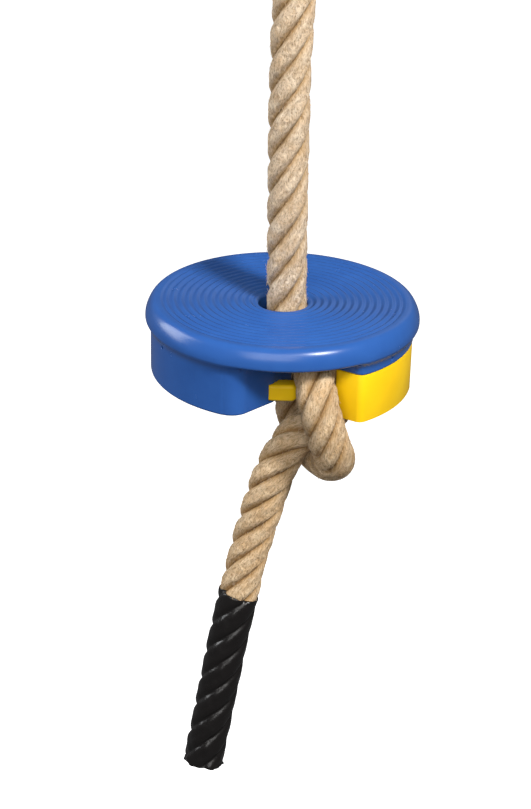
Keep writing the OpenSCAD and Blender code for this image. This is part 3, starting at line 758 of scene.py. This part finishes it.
SEAT_NODES = ("seat_shell", "seat_skirt", "seat_hub", "pocket_wall", "gate_wall")
GRID_LOW = (-148, -148, -83)
GRID_HIGH = (148, 148, 3)


def make_seat():
    pitch = 1.3
    points, faces = surface_net(seat_field, GRID_LOW, GRID_HIGH, pitch)
    # Draw the corners onto the surface, by at most half a grid step each time
    for _ in range(3):
        slope = field_slope(seat_field, points)
        size = np.maximum((slope ** 2).sum(1), 0.2)
        move = -(seat_field(*points.T) / size)[:, None] * slope
        far = np.linalg.norm(move, axis=1)
        move *= np.minimum(1, 0.5 * pitch / np.maximum(far, 1e-9))[:, None]
        points = points + move
    seat = mesh_object("seat_body", points * MM + np.array(SEAT), faces)
    slope = field_slope(seat_field, points)
    slope /= np.maximum(np.linalg.norm(slope, axis=1), 1e-9)[:, None]
    seat.data.normals_split_custom_set_from_vertices(slope.tolist())
    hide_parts(*SEAT_NODES)
    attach(seat, "swing")
    return seat


seat = make_seat()


# ---- hard parts ---------------------------------------------------------------------------------

BODY_OF = {n: body for body, nodes in frame["record"]["behaviour"]["bodies"].items() for n in nodes}
# How far the edges of each node are rounded, in mm
EDGE = {
    "lock_gate": 1.4, "latch_tongue": 0.7, "left_cover": 0.5, "right_cover": 0.5, "gate_carrier": 0.8,
    "latch_housing": 0.5, "hanger_bracket": 1.2, "yoke": 1.0, "cross_link": 0.8, "rope_socket": 0.6,
    "upper_bolt": 0.6, "lower_bolt": 0.6, "upper_nut": 0.5, "lower_nut": 0.5, "swivel_bolt": 0.8,
    "swivel_nut": 0.5, "socket_bolts": 0.5, "socket_nuts": 0.4, "gate_bolt": 0.8,
}
shown = {node: softened(node, width * MM, BODY_OF[node]) for node, width in EDGE.items()}
for node, cad in frame["nodes"].items():
    if node not in EDGE and node not in ("rope", "end_sleeve", *SEAT_NODES):
        shown[node] = cad
# The seat's mesh stands for five nodes of one slot
shown["seat_shell"] = seat


# ---- materials ----------------------------------------------------------------------------------

class Paint:
    """A material and short ways to build its nodes."""

    def __init__(self, name, **values):
        self.material = bpy.data.materials.new(name)
        self.material.use_nodes = True
        self.tree = self.material.node_tree
        self.tree.nodes.clear()
        out = self.tree.nodes.new("ShaderNodeOutputMaterial")
        self.shader = self.tree.nodes.new("ShaderNodeBsdfPrincipled")
        self.tree.links.new(self.shader.outputs["BSDF"], out.inputs["Surface"])
        for socket, value in values.items():
            self.set(self.shader, socket.replace("_", " "), value)

    def set(self, node, socket, value):
        if isinstance(value, bpy.types.NodeSocket):
            self.tree.links.new(value, node.inputs[socket])
        elif isinstance(value, tuple) and len(value) == 3 and len(node.inputs[socket].default_value) == 4:
            node.inputs[socket].default_value = (*value, 1)
        else:
            node.inputs[socket].default_value = value

    def add(self, kind, out=0, settings=None, **values):
        node = self.tree.nodes.new("ShaderNode" + kind)
        for key, value in (settings or {}).items():
            setattr(node, key, value)
        for socket, value in values.items():
            self.set(node, int(socket[1:]) if socket[1:].isdigit() else socket.replace("_", " "), value)
        return node.outputs[out]

    def place(self):
        return self.add("TexCoord", "Object")

    def noise(self, vector, scale, detail, rough, stretch=None):
        if stretch:
            vector = self.add("Mapping", Vector=vector, Scale=stretch)
        return self.add("TexNoise", "Fac", Vector=vector, Scale=scale, Detail=detail, Roughness=rough)

    def ramp(self, value, low, high, start=0.0, end=1.0):
        return self.add(
            "MapRange", settings={"clamp": True},
            Value=value, From_Min=low, From_Max=high, To_Min=start, To_Max=end,
        )

    def mix(self, share, a, b, how="MIX"):
        node = self.tree.nodes.new("ShaderNodeMix")
        node.data_type = "RGBA"
        node.blend_type = how
        self.set(node, 0, share)
        self.set(node, 6, a)
        self.set(node, 7, b)
        return node.outputs[2]

    def sum(self, a, b, how="ADD"):
        return self.add("Math", settings={"operation": how}, _0=a, _1=b)

    def bump(self, height, distance, strength=1.0):
        return self.add("Bump", Height=height, Distance=distance, Strength=strength)


def hemp_material():
    """Spun hemp: soft short strokes along the rope and flecks, with painted shade: browner, darker
    grooves, and the rope browner and darker from the knot down.
    """
    paint = Paint("hemp", Roughness=0.94, Specular_IOR_Level=0.12)
    fibre = paint.add("Attribute", "Vector", settings={"attribute_name": "fibre"})
    groove_shade = paint.add("Attribute", "Fac", settings={"attribute_name": "groove_shade"})
    worn = paint.add("Attribute", "Fac", settings={"attribute_name": "worn"})
    yarn = paint.noise(fibre, 420, 2.0, 0.55, (1, 1, 0.35))
    strokes = paint.noise(fibre, 620, 4.0, 0.7, (1, 1, 0.4))
    hair = paint.noise(fibre, 2300, 2.0, 0.6, (1, 1, 0.16))
    fleck = paint.noise(fibre, 850, 3.0, 0.6, (1, 1, 0.6))
    patch = paint.noise(paint.place(), 60, 4.0, 0.65)
    light = paint.mix(paint.ramp(patch, 0.36, 0.62), (0.73, 0.53, 0.335), (0.86, 0.70, 0.52))
    colour = paint.mix(paint.ramp(strokes, 0.55, 0.38, 0, 0.85), light, (0.40, 0.26, 0.145))
    colour = paint.mix(paint.ramp(hair, 0.52, 0.72, 0, 0.5), colour, (0.88, 0.78, 0.63))
    colour = paint.mix(paint.ramp(fleck, 0.58, 0.68, 0, 0.75), colour, (0.20, 0.115, 0.06))
    # Painted shade: browner, then near black, the deeper a place lies in a groove
    colour = paint.mix(paint.ramp(groove_shade, 0.15, 0.75, 0, 0.75), colour, (0.42, 0.255, 0.10))
    colour = paint.mix(paint.ramp(groove_shade, 0.75, 1.0, 0, 0.8), colour, (0.12, 0.065, 0.025))
    # Painted shade: from the knot down the rope is tinted browner and darker
    colour = paint.mix(worn, colour, paint.mix(1.0, colour, (0.95, 0.89, 0.78), "MULTIPLY"))
    height = paint.sum(paint.sum(yarn, strokes), paint.sum(hair, 0.4, "MULTIPLY"))
    paint.set(paint.shader, "Base Color", colour)
    paint.set(paint.shader, "Normal", paint.bump(height, 2.2 * MM, 1.0))
    return paint.material


def plastic(name, colour, dark, rough):
    """Moulded plastic: faint mottling, fine grain and a soft sheen."""
    paint = Paint(name, Specular_IOR_Level=0.38)
    place = paint.place()
    cloud = paint.noise(place, 28, 3.0, 0.55)
    fine = paint.noise(place, 1300, 2.0, 0.5)
    scuff = paint.noise(place, 60, 4.0, 0.6)
    paint.set(paint.shader, "Base Color", paint.mix(paint.ramp(cloud, 0.35, 0.65), dark, colour))
    paint.set(paint.shader, "Roughness", paint.ramp(scuff, 0.35, 0.75, rough, rough + 0.06))
    paint.set(paint.shader, "Normal", paint.bump(fine, 0.12 * MM, 0.3))
    return paint.material


def metal(name, colour, dark, rough, bumps=0.05):
    """Plated or machined metal: uneven tone and roughness, and fine marks."""
    paint = Paint(name, Metallic=1.0)
    place = paint.place()
    spangle = paint.noise(place, 120, 3.0, 0.65)
    marks = paint.noise(place, 900, 3.0, 0.6)
    paint.set(paint.shader, "Base Color", paint.mix(paint.ramp(spangle, 0.3, 0.7), dark, colour))
    paint.set(paint.shader, "Roughness", paint.ramp(marks, 0.3, 0.7, rough - 0.06, rough + 0.10))
    paint.set(paint.shader, "Normal", paint.bump(marks, bumps * MM, 0.6))
    return paint.material


def sleeve_material():
    paint = Paint("shrink_sleeve", Base_Color=(0.007, 0.006, 0.006), Specular_IOR_Level=0.4)
    place = paint.place()
    wrinkle = paint.noise(place, 95, 3.0, 0.55)
    fine = paint.noise(place, 700, 2.0, 0.5)
    paint.set(paint.shader, "Roughness", paint.ramp(wrinkle, 0.3, 0.7, 0.22, 0.36))
    height = paint.sum(wrinkle, paint.sum(fine, 0.12, "MULTIPLY"))
    paint.set(paint.shader, "Normal", paint.bump(height, 1.2 * MM, 0.7))
    return paint.material


MATERIALS = {
    "hemp": hemp_material(),
    "blue_plastic": plastic("blue_plastic", (0.025, 0.100, 0.355), (0.022, 0.090, 0.330), 0.22),
    "yellow_plastic": plastic("yellow_plastic", (0.98, 0.63, 0.006), (0.94, 0.58, 0.004), 0.38),
    "black_plastic": plastic("black_plastic", (0.030, 0.031, 0.034), (0.022, 0.022, 0.025), 0.45),
    "shrink_sleeve": sleeve_material(),
    "zinc": metal("zinc", (0.60, 0.61, 0.62), (0.46, 0.47, 0.49), 0.38),
    "cast_link": metal("cast_link", (0.42, 0.42, 0.43), (0.30, 0.30, 0.31), 0.50, bumps=0.25),
    "bolt_steel": metal("bolt_steel", (0.66, 0.65, 0.63), (0.55, 0.54, 0.52), 0.27),
    "spring_steel": metal("spring_steel", (0.52, 0.52, 0.54), (0.42, 0.42, 0.44), 0.25),
    "bronze": metal("bronze", (0.63, 0.42, 0.19), (0.50, 0.32, 0.14), 0.33),
}
slot_of = {row["node"]: row["material_slot"] for row in frame["record"]["subparts"]}


def dress(piece, slot):
    piece.data.materials.clear()
    piece.data.materials.append(MATERIALS[slot])


for node, piece in shown.items():
    dress(piece, slot_of[node])
dress(rope, "hemp")
dress(fuzz, "hemp")
dress(sleeve, "shrink_sleeve")


# ---- floor, light and finish --------------------------------------------------------------------

ROOM_R = 12.0
FLOOR_DROP = 1.0
AMBIENT = 0.14


def make_floor():
    """A pale floor inside a pale dome. They glow for the camera alone and throw nothing on the swing."""
    low = cad_box[0].z - FLOOR_DROP
    corners = [(x * ROOM_R, y * ROOM_R, low) for x, y in ((-1, -1), (1, -1), (1, 1), (-1, 1))]
    floor = mesh_object("floor", corners, [(0, 1, 2, 3)])
    dome = mesh_object("backdrop", [], [])
    edit = bmesh.new()
    bmesh.ops.create_icosphere(edit, subdivisions=4, radius=ROOM_R)
    edit.to_mesh(dome.data)
    edit.free()
    paint = Paint(
        "pale_floor", Base_Color=(0.86, 0.86, 0.86), Roughness=0.9,
        Emission_Color=(1.0, 1.0, 1.0), Emission_Strength=1.0,
    )
    for piece in (floor, dome):
        piece.data.materials.append(paint.material)
        piece.visible_diffuse = piece.visible_glossy = piece.visible_shadow = False


def area_light(name, azimuth, elevation, distance, size, power, colour=(1, 1, 1)):
    """A square softbox that faces the seat. Azimuth 0 is to the right, and -90 is towards the camera."""
    a, e = math.radians(azimuth), math.radians(elevation)
    way = Vector((math.cos(a) * math.cos(e), math.sin(a) * math.cos(e), math.sin(e)))
    data = bpy.data.lights.new(name, "AREA")
    data.shape = "SQUARE"
    data.size = size
    data.energy = power
    data.color = colour
    light = bpy.data.objects.new(name, data)
    light.location = SEAT + way * distance
    light.rotation_euler = (-way).to_track_quat("-Z", "Y").to_euler()
    bpy.context.scene.collection.objects.link(light)


make_floor()
area_light("key", -52, 44, 2.6, 0.45, 76, (1.0, 0.98, 0.95))
area_light("front", -98, 30, 2.8, 2.0, 50, (1.0, 0.99, 0.97))
area_light("fill_left", 168, 20, 2.6, 1.4, 46, (0.96, 0.98, 1.0))
area_light("sheen", 72, 27, 2.8, 1.2, 1.5)

world = bpy.data.worlds.new("studio")
world.use_nodes = True
sky = world.node_tree.nodes["Background"]
sky.inputs["Color"].default_value = (1, 1, 1, 1)
sky.inputs["Strength"].default_value = AMBIENT
bpy.context.scene.world = world
bpy.context.scene.view_settings.view_transform = "Standard"
bpy.context.scene.view_settings.look = "None"
